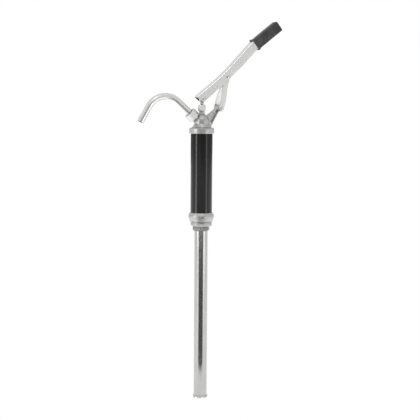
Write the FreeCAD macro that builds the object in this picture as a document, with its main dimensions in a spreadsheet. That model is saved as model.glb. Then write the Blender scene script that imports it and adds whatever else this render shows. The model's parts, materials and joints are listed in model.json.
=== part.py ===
"""Hand lever pump for drums, built as separate sub-parts at real size in millimetres.

The shared origin is on the pump axis at the face of the bung flange. +Z points up the pump axis,
+X towards the lever grip, and the lever pins lie along Y.
"""
import FreeCAD
import Part
import Sketcher
import math
import os

Vector = FreeCAD.Vector
AXIS_Y = Vector(0, 1, 0)

DIMENSIONS = {
    # barrel and its seats
    "barrel_od": 60.0,
    "barrel_wall": 2.0,
    "barrel_length": 248.0,
    "seat_gap": 0.05,
    "running_gap": 0.1,
    "slide_gap": 0.3,
    "gasket_thickness": 1.5,
    # base collar, bung thread and tube nut
    "collar_height": 24.0,
    "collar_overhang": 6.2,
    "collar_bulge_z": 14.0,
    "collar_floor_z": 5.0,
    "bung_thread_od": 59.6,
    "bung_thread_length": 13.0,
    "spigot_od": 41.2,
    "spigot_length": 6.0,
    "valve_bore": 34.8,
    "tube_nut_across_flats": 43.0,
    "tube_nut_length": 12.0,
    # suction tubes
    "suction_od": 37.0,
    "suction_wall": 1.4,
    "suction_length": 474.5,
    "middle_length": 458.0,
    "lower_length": 446.0,
    "rim_od": 40.6,
    "rim_height": 7.0,
    "rim_notch_width": 9.0,
    "rim_notch_depth": 3.5,
    "middle_recess": 2.5,
    "lower_recess": 4.5,
    # head casting
    "head_ring_overhang": 4.4,
    "head_ring_height": 15.0,
    "head_socket_depth": 14.0,
    "head_wall_radius": 20.5,
    "dome_radius": 24.0,
    "neck_radius": 7.7,
    "neck_top": 61.0,
    "packing_bore": 12.4,
    "outlet_height": 24.5,
    "outlet_angle": 42.0,
    "outlet_radius": 11.0,
    "outlet_length": 40.0,
    "arm_width": 18.0,
    "arm_web": 7.0,
    "boss_width": 34.0,
    "boss_radius": 9.0,
    # spout
    "spout_od": 19.0,
    "spout_wall": 1.5,
    "spout_bend_radius": 55.0,
    "spout_straight": 58.6,
    "spout_turn": 102.0,
    "spout_leg": 47.3,
    "spout_nut_across_flats": 30.0,
    "spout_nut_length": 21.0,
    # piston and rod
    "rod_diameter": 9.0,
    "rod_thread_diameter": 8.0,
    "piston_rest": 40.0,
    "piston_plate_thickness": 4.0,
    "cup_thickness": 2.0,
    "valve_lift": 4.0,
    "eye_radius": 7.5,
    "eye_thickness": 6.0,
    # lever linkage
    "rod_pin_height": 94.8,
    "bracket_pin_x": 50.3,
    "bracket_pin_height": 69.6,
    "crank_length": 94.0,
    "lever_angle": 40.5,
    "lever_width": 26.0,
    "lever_wall": 2.0,
    "pin_diameter": 6.0,
    "head_diameter": 9.0,
    "head_height": 1.6,
    "link_thickness": 2.5,
    "link_width": 15.0,
    # the joggle's two knees, measured down from the lever pin
    "link_knee_low": 62.8,
    "link_knee_high": 28.8,
    # grip
    "grip_length": 89.5,
    "grip_height": 30.0,
    "grip_width": 30.0,
    "grip_wall": 2.0,
    "grip_lip_width": 34.6,
    "grip_lip_length": 4.5,
    # small hardware
    "packing_nut_across_flats": 19.0,
    "packing_nut_height": 17.0,
    "piston_nut_across_flats": 13.0,
    "piston_nut_height": 6.5,
    "piston_hub_radius": 18.4,
    "piston_disc_radius": 18.0,
    "valve_stop_radius": 9.0,
    "port_radius": 2.5,
    "port_circle": 11.5,
    "set_screw_diameter": 5.0,
    "set_screw_length": 5.8,
    "valve_seat_z": -6.0,
    "valve_seat_height": 4.0,
}

doc = FreeCAD.newDocument("LeverDrumPump")
sheet = doc.addObject("Spreadsheet::Sheet", "dims")
for row, (alias, amount) in enumerate(DIMENSIONS.items(), start=1):
    sheet.set(f"A{row}", alias)
    sheet.set(f"B{row}", str(amount))
    sheet.setAlias(f"B{row}", alias)
doc.recompute()


class Size:
    """A length or angle that knows its value and the sheet formula it comes from."""

    def __init__(self, value, text):
        self.value = value
        self.text = text

    def __add__(self, other):
        other = as_size(other)
        return Size(self.value + other.value, f"({self.text} + {other.text})")

    def __radd__(self, other):
        return as_size(other) + self

    def __sub__(self, other):
        other = as_size(other)
        return Size(self.value - other.value, f"({self.text} - {other.text})")

    def __rsub__(self, other):
        return as_size(other) - self

    def __mul__(self, other):
        other = as_size(other)
        return Size(self.value * other.value, f"({self.text} * {other.text})")

    def __rmul__(self, other):
        return as_size(other) * self

    def __truediv__(self, other):
        other = as_size(other)
        return Size(self.value / other.value, f"({self.text} / {other.text})")

    def __neg__(self):
        return Size(-self.value, f"(0 - {self.text})")


def as_size(number):
    """Wrap a plain number as a Size."""
    if isinstance(number, Size):
        return number
    return Size(float(number), repr(float(number)))


def dim(alias):
    """The size kept under this alias in the sheet."""
    return Size(float(sheet.get(alias)), f"dims.{alias}")


def cosine(angle):
    """Cosine of a Size in degrees."""
    return Size(math.cos(math.radians(angle.value)), f"cos({angle.text})")


def sine(angle):
    """Sine of a Size in degrees."""
    return Size(math.sin(math.radians(angle.value)), f"sin({angle.text})")


def root(square):
    """Square root of a Size."""
    return Size(math.sqrt(square.value), f"sqrt({square.text})")


def heading(rise, run):
    """Angle in degrees of a direction given by its rise and run."""
    return Size(math.degrees(math.atan2(rise.value, run.value)), f"atan2({rise.text}; {run.text})")


# sizes several sub-parts share
BARREL_RADIUS = dim("barrel_od") / 2
BARREL_BORE = BARREL_RADIUS - dim("barrel_wall")
SOCKET_RADIUS = BARREL_RADIUS + dim("seat_gap")
BULGE_RADIUS = BARREL_RADIUS + dim("collar_overhang")
HEAD_RING_RADIUS = BARREL_RADIUS + dim("head_ring_overhang")
BARREL_BOTTOM = dim("collar_floor_z") + dim("gasket_thickness")
BARREL_TOP = BARREL_BOTTOM + dim("barrel_length")
HEAD_Z = BARREL_TOP + dim("gasket_thickness") - dim("head_socket_depth")
ROD_RADIUS = dim("rod_diameter") / 2
ROD_THREAD_RADIUS = dim("rod_thread_diameter") / 2
PACKING_RADIUS = dim("packing_bore") / 2
NECK_FLOOR = dim("neck_top") - 9
PIN_RADIUS = dim("pin_diameter") / 2
HALF_LEVER = dim("lever_width") / 2
LEVER_INSIDE = HALF_LEVER - dim("lever_wall")
OUTLET_Z = HEAD_Z + dim("outlet_height")
SPOUT_RADIUS = dim("spout_od") / 2
SPOUT_START = dim("outlet_length") - 6
SPIGOT_END = -(dim("bung_thread_length") + dim("spigot_length"))
TUBE_TOP = SPIGOT_END - dim("gasket_thickness")
SUCTION_RADIUS = dim("suction_od") / 2
SUCTION_BORE = SUCTION_RADIUS - dim("suction_wall")
MIDDLE_RADIUS = SUCTION_BORE - dim("slide_gap")
MIDDLE_BORE = MIDDLE_RADIUS - dim("suction_wall")
LOWER_RADIUS = MIDDLE_BORE - dim("slide_gap")
LOWER_BORE = LOWER_RADIUS - dim("suction_wall")
TUBE_END = TUBE_TOP - dim("suction_length")
VALVE_RADIUS = dim("valve_bore") / 2
FLANGE_THICKNESS = as_size(1.5)
NUT_CLEARANCE = as_size(1)
SCREW_RADIUS = dim("set_screw_diameter") / 2
SCREW_LENGTH = dim("set_screw_length")
SCREW_Z = dim("collar_bulge_z") - 2.5
VALVE_DISC_Z = dim("valve_seat_z") + dim("valve_seat_height")

# pins of the lever linkage, as world positions in the mechanism plane
ROD_PIN_Z = HEAD_Z + dim("rod_pin_height")
BRACKET_PIN_Z = HEAD_Z + dim("bracket_pin_height")
LEVER_PIN_X = dim("crank_length") * cosine(dim("lever_angle"))
LEVER_PIN_Z = ROD_PIN_Z + dim("crank_length") * sine(dim("lever_angle"))
LINK_RUN = LEVER_PIN_X - dim("bracket_pin_x")
LINK_RISE = LEVER_PIN_Z - BRACKET_PIN_Z
LINK_LENGTH = root(LINK_RUN * LINK_RUN + LINK_RISE * LINK_RISE)
LINK_TILT = heading(LINK_RUN, LINK_RISE)

built = {}


def new_body(name):
    """Start an empty body for one sub-part."""
    body = doc.addObject("PartDesign::Body", name)
    body.Label = name
    built[name] = body
    return body


def place(thing, x=0.0, y=0.0, z=0.0, turn=None):
    """Put a sub-part at a world position, turned about the Y axis by an angle."""
    if turn is not None:
        turn = as_size(turn)
        thing.Placement = FreeCAD.Placement(Vector(0, 0, 0), FreeCAD.Rotation(AXIS_Y, turn.value))
    base = Vector(as_size(x).value, as_size(y).value, as_size(z).value)
    thing.Placement = FreeCAD.Placement(base, thing.Placement.Rotation)
    for letter, amount in (("x", x), ("y", y), ("z", z)):
        thing.setExpression(f"Placement.Base.{letter}", as_size(amount).text)


def new_sketch(body, name, plane="XZ_Plane"):
    """A sketch on one of the body's own origin planes."""
    sketch = body.newObject("Sketcher::SketchObject", name)
    support = [item for item in body.Origin.OriginFeatures if item.Role == plane][0]
    sketch.AttachmentSupport = [(support, "")]
    sketch.MapMode = "FlatFace"
    return sketch


def hold_point(sketch, geometry, end, x, y):
    """Hold one end of a sketch line or a centre at sizes from the sheet."""
    for kind, amount, axis in (("DistanceX", x, -2), ("DistanceY", y, -1)):
        amount = as_size(amount)
        if abs(amount.value) < 1e-9:
            sketch.addConstraint(Sketcher.Constraint("PointOnObject", geometry, end, axis))
            continue
        limit = Sketcher.Constraint(kind, -1, 1, geometry, end, amount.value)
        number = sketch.addConstraint(limit)
        sketch.setExpression(f"Constraints[{number}]", amount.text)


def hold_radius(sketch, geometry, radius):
    """Hold the radius of a circle or arc at a size from the sheet."""
    number = sketch.addConstraint(Sketcher.Constraint("Radius", geometry, radius.value))
    sketch.setExpression(f"Constraints[{number}]", radius.text)


def add_circle(sketch, x, y, radius):
    """A circle held by its centre and radius."""
    x, y, radius = as_size(x), as_size(y), as_size(radius)
    circle = Part.Circle(Vector(x.value, y.value, 0), Vector(0, 0, 1), radius.value)
    geometry = sketch.addGeometry(circle)
    hold_point(sketch, geometry, 3, x, y)
    hold_radius(sketch, geometry, radius)


def arc_between(start, finish, radius, left):
    """An arc from start to finish; left puts its centre on the left of the direction of travel."""
    middle = (start + finish) / 2
    half = (finish - start).Length / 2
    across = (finish - start).normalize()
    side = Vector(-across.y, across.x, 0) if left else Vector(across.y, -across.x, 0)
    centre = middle + side * math.sqrt(max(radius ** 2 - half ** 2, 0.0))
    circle = Part.Circle(centre, Vector(0, 0, 1), radius)
    if left:
        first, last = start - centre, finish - centre
    else:
        first, last = finish - centre, start - centre
    begin = math.atan2(first.y, first.x)
    end = math.atan2(last.y, last.x)
    if end < begin:
        end += 2 * math.pi
    return Part.ArcOfCircle(circle, begin, end)


def add_outline(sketch, corners, closed=True):
    """Join corners with lines; a corner (x, y, radius) is reached by an arc of that radius.

    A positive radius puts the arc's centre on the left of the direction of travel, a negative
    one on the right. Every corner is held at its sizes.
    """
    corners = [tuple(as_size(number) for number in corner) for corner in corners]
    points = [Vector(corner[0].value, corner[1].value, 0) for corner in corners]
    total = len(corners) if closed else len(corners) - 1
    pieces = []
    for index in range(total):
        following = (index + 1) % len(corners)
        target = corners[following]
        if len(target) == 3:
            left = target[2].value > 0
            radius = target[2] if left else -target[2]
            piece = arc_between(points[index], points[following], radius.value, left)
            geometry = sketch.addGeometry(piece)
            ends = (1, 2) if left else (2, 1)
        else:
            radius = None
            geometry = sketch.addGeometry(Part.LineSegment(points[index], points[following]))
            ends = (1, 2)
        pieces.append((geometry, ends, radius))
    for index, (geometry, ends, radius) in enumerate(pieces):
        hold_point(sketch, geometry, ends[0], corners[index][0], corners[index][1])
        if closed or index + 1 < len(pieces):
            other, other_ends, _ = pieces[(index + 1) % len(pieces)]
            joint = Sketcher.Constraint("Coincident", geometry, ends[1], other, other_ends[0])
            sketch.addConstraint(joint)
        else:
            hold_point(sketch, geometry, ends[1], corners[-1][0], corners[-1][1])
        if radius is not None:
            hold_radius(sketch, geometry, radius)


def add_hexagon(sketch, across_flats):
    """A hexagon centred on the sketch origin, one corner on its horizontal axis."""
    corner = across_flats / math.sqrt(3)
    points = []
    for step in range(6):
        angle = math.radians(60 * step)
        points.append((corner * math.cos(angle), corner * math.sin(angle)))
    add_outline(sketch, points)


def add_feature(body, kind, name, sketch):
    """A pad, pocket, revolution or groove that reads a sketch."""
    feature = body.newObject(f"PartDesign::{kind}", name)
    feature.Profile = sketch
    sketch.Visibility = False
    return feature


def pad(body, name, sketch, length, symmetric=False, backwards=False):
    """Pad a sketch by a length."""
    feature = add_feature(body, "Pad", name, sketch)
    feature.SideType = "Symmetric" if symmetric else "One side"
    feature.Reversed = backwards
    feature.Length = as_size(length).value
    feature.setExpression("Length", as_size(length).text)
    return feature


def pocket(body, name, sketch, length, symmetric=False, backwards=False):
    """Pocket a sketch by a length and make sure material was removed."""
    doc.recompute()
    before = body.Shape.Volume
    feature = add_feature(body, "Pocket", name, sketch)
    feature.SideType = "Symmetric" if symmetric else "One side"
    feature.Reversed = backwards
    feature.Length = as_size(length).value
    feature.setExpression("Length", as_size(length).text)
    doc.recompute()
    if body.Shape.Volume >= before:
        raise ValueError(f"{body.Label}: {name} removed nothing")
    return feature


def revolve(body, name, sketch, kind="Revolution"):
    """Turn a sketch about its vertical axis."""
    feature = add_feature(body, kind, name, sketch)
    feature.ReferenceAxis = (sketch, ["V_Axis"])
    feature.Angle = 360
    return feature


def turned(name, corners):
    """A sub-part turned about the Z axis from one outline."""
    body = new_body(name)
    sketch = new_sketch(body, f"{name}_outline")
    add_outline(sketch, corners)
    revolve(body, f"{name}_turned", sketch)
    return body


def turned_cut(body, name, corners):
    """Cut a turned outline out of a body."""
    doc.recompute()
    before = body.Shape.Volume
    sketch = new_sketch(body, f"{name}_outline")
    add_outline(sketch, corners)
    revolve(body, name, sketch, kind="Groove")
    doc.recompute()
    if body.Shape.Volume >= before:
        raise ValueError(f"{body.Label}: {name} removed nothing")


def ring(name, inner, outer, height):
    """A plain ring standing on its own origin plane."""
    return turned(name, [(inner, 0), (outer, 0), (outer, height), (inner, height)])


def cylinder(body, kind, name, radius, height, x=0.0, y=0.0, z=0.0, axis=AXIS_Y, turn=0.0):
    """Add or subtract a cylinder inside a body; turn tips its axis about the given axis."""
    feature = body.newObject(f"PartDesign::{kind}Cylinder", name)
    turn = as_size(turn)
    base = Vector(as_size(x).value, as_size(y).value, as_size(z).value)
    feature.Placement = FreeCAD.Placement(base, FreeCAD.Rotation(axis, turn.value))
    feature.Radius = as_size(radius).value
    feature.Height = as_size(height).value
    feature.setExpression("Radius", as_size(radius).text)
    feature.setExpression("Height", as_size(height).text)
    for letter, amount in (("x", x), ("y", y), ("z", z)):
        feature.setExpression(f"Placement.Base.{letter}", as_size(amount).text)
    return feature


def round_edges(body, name, radius, wanted, kind="Fillet"):
    """Round or bevel the edges of the body's tip that pass a test."""
    doc.recompute()
    base = body.Tip
    names = [f"Edge{number}" for number, edge in enumerate(base.Shape.Edges, start=1) if wanted(edge)]
    if not names:
        raise ValueError(f"{body.Label}: {name} found no edge")
    feature = body.newObject(f"PartDesign::{kind}", name)
    feature.Base = (base, names)
    prop = "Radius" if kind == "Fillet" else "Size"
    setattr(feature, prop, radius)
    doc.recompute()


def cylinder_across(body, kind, name, radius, width, x=0.0, z=0.0):
    """A cylinder along Y, centred on the mechanism plane."""
    width = as_size(width)
    return cylinder(body, kind, name, radius, width, x, width / 2, z, Vector(1, 0, 0), 90)


def along_outlet(distance):
    """World x and z of a point this far up the outlet axis."""
    x = -distance * cosine(dim("outlet_angle"))
    z = OUTLET_Z + distance * sine(dim("outlet_angle"))
    return x, z


OUTLET_TURN = dim("outlet_angle") - 90


def hex_chamfer(body, name, across_flats, z, upward):
    """Turn the corners of a hexagon down to its flats at one end."""
    flat = across_flats / 2
    corner = across_flats / math.sqrt(3) + 1
    drop = (corner - flat + 0.6) * math.tan(math.radians(30))
    inner = flat - 0.6
    if upward:
        corners = [(inner, z), (corner, z - drop), (corner, z + 1), (inner, z + 1)]
    else:
        corners = [(inner, z), (inner, z - 1), (corner, z - 1), (corner, z + drop)]
    turned_cut(body, name, corners)


def make_barrel():
    """The painted pump cylinder."""
    body = ring("barrel", BARREL_BORE, BARREL_RADIUS, dim("barrel_length"))
    place(body, z=BARREL_BOTTOM)


def make_gaskets():
    """Flat gaskets under and over the barrel ends."""
    lower = ring("base_gasket", BARREL_BORE, SOCKET_RADIUS - 0.3, dim("gasket_thickness"))
    place(lower, z=dim("collar_floor_z"))
    upper = ring("head_gasket", BARREL_BORE, SOCKET_RADIUS - 0.3, dim("gasket_thickness"))
    place(upper, z=BARREL_TOP)


def make_base_collar():
    """Cast collar: barrel socket, bulged flange, bung thread and spigot for the tube nut."""
    thread = dim("bung_thread_od") / 2
    bottom = -dim("bung_thread_length")
    flange = BARREL_RADIUS + 1.4
    body = turned("base_collar", [
        (SOCKET_RADIUS, dim("collar_height")),
        (SOCKET_RADIUS, dim("collar_floor_z")),
        (VALVE_RADIUS, dim("collar_floor_z")),
        (VALVE_RADIUS, dim("valve_seat_z")),
        (VALVE_RADIUS - 1.9, dim("valve_seat_z")),
        (VALVE_RADIUS - 1.9, SPIGOT_END),
        (dim("spigot_od") / 2, SPIGOT_END),
        (dim("spigot_od") / 2, bottom),
        (thread - 1, bottom),
        (thread, bottom + 1),
        (thread, 0),
        (flange, 0),
        (BULGE_RADIUS - 0.4, dim("collar_bulge_z") - 2),
        (BULGE_RADIUS - 0.4, dim("collar_bulge_z") + 1.5, 3),
        (SOCKET_RADIUS + 2.4, dim("collar_height") - 1.2),
        (SOCKET_RADIUS + 1.2, dim("collar_height"), 1.8),
    ])
    cylinder(body, "Additive", "screw_pad", 5.2, 6.5, 0, -SOCKET_RADIUS + 0.3, SCREW_Z,
             Vector(1, 0, 0), 90)
    cylinder(body, "Subtractive", "screw_hole", SCREW_RADIUS + dim("seat_gap"), 12, 0,
             -SOCKET_RADIUS + 2, SCREW_Z, Vector(1, 0, 0), 90)
    cylinder(body, "Subtractive", "barrel_socket", SOCKET_RADIUS, 30, 0, 0, dim("collar_floor_z"))


def make_set_screw():
    """Slotted screw that keeps the barrel from turning in the collar."""
    body = new_body("set_screw")
    cylinder(body, "Additive", "shank", SCREW_RADIUS, SCREW_LENGTH)
    sketch = new_sketch(body, "slot_outline", "YZ_Plane")
    add_outline(sketch, [(-0.5, SCREW_LENGTH - 1.2), (0.5, SCREW_LENGTH - 1.2),
                         (0.5, SCREW_LENGTH + 1), (-0.5, SCREW_LENGTH + 1)])
    pocket(body, "slot", sketch, 12, symmetric=True)
    body.Placement = FreeCAD.Placement(Vector(0, 0, 0), FreeCAD.Rotation(Vector(1, 0, 0), 90))
    place(body, y=-(SOCKET_RADIUS + 0.4), z=SCREW_Z)


def make_foot_valve():
    """Seat, disc and cage of the valve at the bottom of the barrel."""
    inner = VALVE_RADIUS - dim("seat_gap")
    seat = ring("foot_valve_seat", inner - 6.4, inner, dim("valve_seat_height"))
    place(seat, z=dim("valve_seat_z"))
    disc = turned("foot_valve_disc", [
        (0, -3.5), (2.5, -3.5), (2.5, 0), (inner - 4.6, 0), (inner - 4.6, 2), (2.5, 2),
        (2.5, 11), (1.5, 12), (0, 12),
    ])
    place(disc, z=VALVE_DISC_Z)
    cage = turned("foot_valve_cage", [
        (inner - 3, 0), (inner, 0), (inner, 2), (inner - 2, 8), (inner - 8, 10), (3, 10),
        (3, 8), (inner - 9, 8), (inner - 4, 6.5), (inner - 3, 2),
    ])
    windows = new_sketch(cage, "window_outline", "XY_Plane")
    for side in (-1, 1):
        add_outline(windows, [(4 * side, 4), (4 * side, 20), (20 * side, 20), (20 * side, 4)])
        add_outline(windows, [(4 * side, -4), (4 * side, -20), (20 * side, -20), (20 * side, -4)])
    windows.AttachmentOffset = FreeCAD.Placement(Vector(0, 0, 2.5), FreeCAD.Rotation())
    pocket(cage, "windows", windows, 12, backwards=True)
    place(cage, z=VALVE_DISC_Z)


def make_suction_joint():
    """Seal ring and hexagon nut that hold the suction tube under the collar."""
    seal = ring("tube_seal", SUCTION_BORE, dim("spigot_od") / 2, dim("gasket_thickness"))
    place(seal, z=TUBE_TOP)
    bore = dim("spigot_od") / 2 + dim("seat_gap")
    length = dim("tube_nut_length")
    nut = new_body("suction_tube_nut")
    sketch = new_sketch(nut, "nut_hexagon", "XY_Plane")
    add_hexagon(sketch, dim("tube_nut_across_flats"))
    pad(nut, "nut_block", sketch, length)
    shoulder = length - NUT_CLEARANCE - dim("spigot_length") - dim("gasket_thickness") - FLANGE_THICKNESS
    cylinder(nut, "Subtractive", "thread_bore", bore, length, 0, 0, shoulder)
    cylinder(nut, "Subtractive", "tube_hole", SUCTION_RADIUS + dim("seat_gap"), length, 0, 0, 0)
    hex_chamfer(nut, "lower_chamfer", dim("tube_nut_across_flats"), as_size(0), False)
    place(nut, z=-(dim("bung_thread_length") + NUT_CLEARANCE + length))


def make_suction_tubes():
    """Three telescoping tubes: the upper one is clamped, the others slide down."""
    upper = turned("upper_suction_tube", [
        (SUCTION_BORE, 0),
        (SUCTION_BORE, -dim("suction_length")),
        (dim("rim_od") / 2, -dim("suction_length")),
        (dim("rim_od") / 2, -dim("suction_length") + dim("rim_height") - 1.5),
        (SUCTION_RADIUS, -dim("suction_length") + dim("rim_height")),
        (SUCTION_RADIUS, -FLANGE_THICKNESS),
        (dim("spigot_od") / 2, -FLANGE_THICKNESS),
        (dim("spigot_od") / 2, 0),
    ])
    notch_rim(upper, -dim("suction_length"))
    place(upper, z=TUBE_TOP)
    middle = turned("middle_suction_tube", [
        (MIDDLE_BORE, 0),
        (MIDDLE_BORE, -dim("middle_length")),
        (MIDDLE_RADIUS, -dim("middle_length")),
        (MIDDLE_RADIUS, -3),
        (MIDDLE_RADIUS + dim("slide_gap") / 2, -2),
        (MIDDLE_RADIUS + dim("slide_gap") / 2, 0),
    ])
    place(middle, z=TUBE_END + dim("middle_length") + dim("middle_recess"))
    lower = turned("lower_suction_tube", [
        (LOWER_BORE, 0),
        (LOWER_BORE, -dim("lower_length")),
        (LOWER_RADIUS, -dim("lower_length")),
        (LOWER_RADIUS, -3),
        (LOWER_RADIUS + dim("slide_gap") / 2, -2),
        (LOWER_RADIUS + dim("slide_gap") / 2, 0),
    ])
    place(lower, z=TUBE_END + dim("lower_length") + dim("lower_recess"))


def notch_rim(tube, end):
    """Cut six notches through the rim at the end of a tube, leaving short teeth."""
    half = dim("rim_notch_width") / 2
    top = end + dim("rim_notch_depth")
    for step in range(3):
        notch = new_sketch(tube, f"notch_outline_{step}")
        turn = FreeCAD.Rotation(AXIS_Y, 60 * step)
        notch.AttachmentOffset = FreeCAD.Placement(Vector(0, 0, 0), turn)
        add_outline(notch, [(-half, end - 1), (half, end - 1), (half, top), (-half, top)])
        pocket(tube, f"notch_{step}", notch, 60, symmetric=True)


def make_foot_strainer():
    """Cup with slots pressed into the end of the lower tube."""
    outer = LOWER_BORE - dim("seat_gap")
    body = turned("foot_strainer", [
        (0, -4), (outer - 2, -4), (LOWER_RADIUS, -2), (LOWER_RADIUS, 0), (outer, 0), (outer, 12),
        (outer - 1.5, 12), (outer - 1.5, -0.5), (outer - 3, -2), (0, -2),
    ])
    for step in range(3):
        sketch = new_sketch(body, f"slot_outline_{step}", "XY_Plane")
        offset = 5.0 * (step - 1)
        half = 8.0 if step == 1 else 6.0
        add_outline(sketch, [(offset - 1, -half), (offset + 1, -half),
                             (offset + 1, half), (offset - 1, half)])
        sketch.AttachmentOffset = FreeCAD.Placement(Vector(0, 0, -5), FreeCAD.Rotation())
        pocket(body, f"slot_{step}", sketch, 4, backwards=True)
    place(body, z=TUBE_END + dim("lower_recess"))


def make_head_casting():
    """Cast head: barrel socket, domed chamber, gland neck, outlet boss and lever bracket."""
    ring_radius = HEAD_RING_RADIUS
    ring_top = dim("head_ring_height")
    wall = dim("head_wall_radius")
    neck = dim("neck_radius")
    body = new_body("head_casting")
    sketch = new_sketch(body, "casting_outline")
    add_outline(sketch, [
        (0, 0),
        (ring_radius - 1, 0),
        (ring_radius, 1, 1),
        (ring_radius, ring_top - 1.5),
        (ring_radius - 1.5, ring_top, 1.5),
        (ring_radius - 5, ring_top + 1),
        (wall + 3, ring_top + 7, -0.7 * (ring_radius - wall)),
        (wall, ring_top + 13, -9),
        (wall, ring_top + 19),
        (neck + 1, dim("neck_top") - 7.5, dim("dome_radius")),
        (neck, dim("neck_top") - 6, -2),
        (neck, dim("neck_top")),
        (0, dim("neck_top")),
    ])
    revolve(body, "casting_body", sketch)
    arm = new_sketch(body, "arm_outline")
    pin_x = dim("bracket_pin_x")
    pin_z = dim("bracket_pin_height")
    add_outline(arm, [
        (10, 18),
        (24.5, 18),
        (pin_x + 1.5, pin_z - 1),
        (pin_x - 7.5, pin_z + 1.5),
        (12, 46.6),
        (10, 45),
    ])
    pad(body, "arm", arm, dim("arm_width"), symmetric=True)
    for side, rear in (("front", False), ("rear", True)):
        recess = new_sketch(body, f"{side}_recess_outline")
        recess.AttachmentOffset = recess_offset(rear)
        add_outline(recess, [
            (25.5, 28),
            (pin_x - 5.2, pin_z - 6.2),
            (pin_x - 9.6, pin_z - 4.6),
            (22.5, 50.2),
            (22.3, 34),
        ])
        pocket(body, f"{side}_recess", recess, 12, backwards=not rear)
    cylinder_across(body, "Additive", "pin_boss", dim("boss_radius"), dim("boss_width"), pin_x, pin_z)
    turn = OUTLET_TURN
    start = 10
    x, z = along_outlet(start)
    cylinder(body, "Additive", "outlet_boss", dim("outlet_radius"), dim("outlet_length") - start,
             x, 0, z - HEAD_Z, AXIS_Y, turn)
    chamber = wall - 4
    turned_cut(body, "chamber", [
        (0, -1),
        (SOCKET_RADIUS, -1),
        (SOCKET_RADIUS, dim("head_socket_depth")),
        (BARREL_BORE, dim("head_socket_depth")),
        (24, ring_top + 2),
        (chamber, ring_top + 9),
        (chamber, ring_top + 19),
        (neck - 1, NECK_FLOOR - 3, dim("dome_radius") - 6),
        (0, NECK_FLOOR - 3),
    ])
    rod_hole = ROD_RADIUS + dim("slide_gap")
    cylinder(body, "Subtractive", "rod_hole", rod_hole, 20, 0, 0, NECK_FLOOR - 8)
    cylinder(body, "Subtractive", "packing_bore", PACKING_RADIUS, 20, 0, 0, NECK_FLOOR)
    x, z = along_outlet(5)
    cylinder(body, "Subtractive", "outlet_bore", 8, dim("outlet_length") - 1,
             x, 0, z - HEAD_Z, AXIS_Y, turn)
    x, z = along_outlet(SPOUT_START)
    cylinder(body, "Subtractive", "spout_socket", SPOUT_RADIUS + dim("running_gap"), 10,
             x, 0, z - HEAD_Z, AXIS_Y, turn)
    cylinder_across(body, "Subtractive", "pin_bore", PIN_RADIUS + dim("running_gap"), 60, pin_x, pin_z)
    place(body, z=HEAD_Z)


def recess_offset(rear):
    """Move a recess sketch to the face of the arm's web."""
    shift = dim("arm_web").value / 2
    return FreeCAD.Placement(Vector(0, 0, -shift if rear else shift), FreeCAD.Rotation())


def make_gland():
    """Washer, packing and nut that seal the piston rod."""
    floor_z = HEAD_Z + NECK_FLOOR
    outer = PACKING_RADIUS - dim("seat_gap")
    washer = ring("gland_washer", ROD_RADIUS + dim("slide_gap"), outer, 1)
    place(washer, z=floor_z)
    packing = ring("gland_packing", ROD_RADIUS + dim("seat_gap"), outer, 4)
    place(packing, z=floor_z + 1)
    nut = new_body("packing_nut")
    sketch = new_sketch(nut, "nut_hexagon", "XY_Plane")
    across = dim("packing_nut_across_flats")
    height = dim("packing_nut_height")
    add_hexagon(sketch, across)
    pad(nut, "nut_block", sketch, height)
    cylinder(nut, "Additive", "spigot", outer, 6, 0, 0, -5)
    cylinder(nut, "Subtractive", "rod_hole", ROD_RADIUS + dim("slide_gap"), 30, 0, 0, -6)
    hex_chamfer(nut, "top_chamfer", across, height, True)
    hex_chamfer(nut, "lower_chamfer", across, as_size(0), False)
    place(nut, z=floor_z + 10)


def make_spout():
    """Curved spout tube with its union nut and ferrule on the outlet axis."""
    turn = OUTLET_TURN
    tube = new_body("spout_tube")
    path = new_sketch(tube, "tube_path")
    straight = dim("spout_straight")
    bend = dim("spout_bend_radius")
    sweep = dim("spout_turn")
    end_x = -bend + bend * cosine(sweep)
    end_z = straight + bend * sine(sweep)
    add_outline(path, [
        (0, 0),
        (0, straight),
        (end_x, end_z, bend),
        (end_x - dim("spout_leg") * sine(sweep), end_z + dim("spout_leg") * cosine(sweep)),
    ], closed=False)
    section = new_sketch(tube, "tube_section", "XY_Plane")
    add_circle(section, 0, 0, SPOUT_RADIUS)
    add_circle(section, 0, 0, SPOUT_RADIUS - dim("spout_wall"))
    pipe = tube.newObject("PartDesign::AdditivePipe", "tube_pipe")
    pipe.Profile = section
    pipe.Spine = (path, [])
    x, z = along_outlet(SPOUT_START)
    place(tube, x=x, z=z, turn=turn)
    ferrule = turned("spout_ferrule", [
        (SPOUT_RADIUS + dim("running_gap"), 0),
        (dim("outlet_radius"), 0),
        (dim("outlet_radius"), 2),
        (SPOUT_RADIUS + 0.7, 3.8),
        (SPOUT_RADIUS + dim("running_gap"), 3.8),
    ])
    x, z = along_outlet(dim("outlet_length"))
    place(ferrule, x=x, z=z, turn=turn)
    nut = new_body("spout_nut")
    length = dim("spout_nut_length")
    sketch = new_sketch(nut, "nut_hexagon", "XY_Plane")
    add_hexagon(sketch, dim("spout_nut_across_flats"))
    pad(nut, "nut_block", sketch, length)
    bore = dim("outlet_radius") + dim("seat_gap")
    cylinder(nut, "Subtractive", "thread_bore", bore, length - 5, 0, 0, 0)
    cylinder(nut, "Subtractive", "tube_hole", SPOUT_RADIUS + 0.5, length + 2, 0, 0, -1)
    hex_chamfer(nut, "outer_chamfer", dim("spout_nut_across_flats"), length, True)
    hex_chamfer(nut, "inner_chamfer", dim("spout_nut_across_flats"), as_size(0), False)
    x, z = along_outlet(dim("outlet_length") + 4 - (length - 5))
    place(nut, x=x, z=z, turn=turn)


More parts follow.
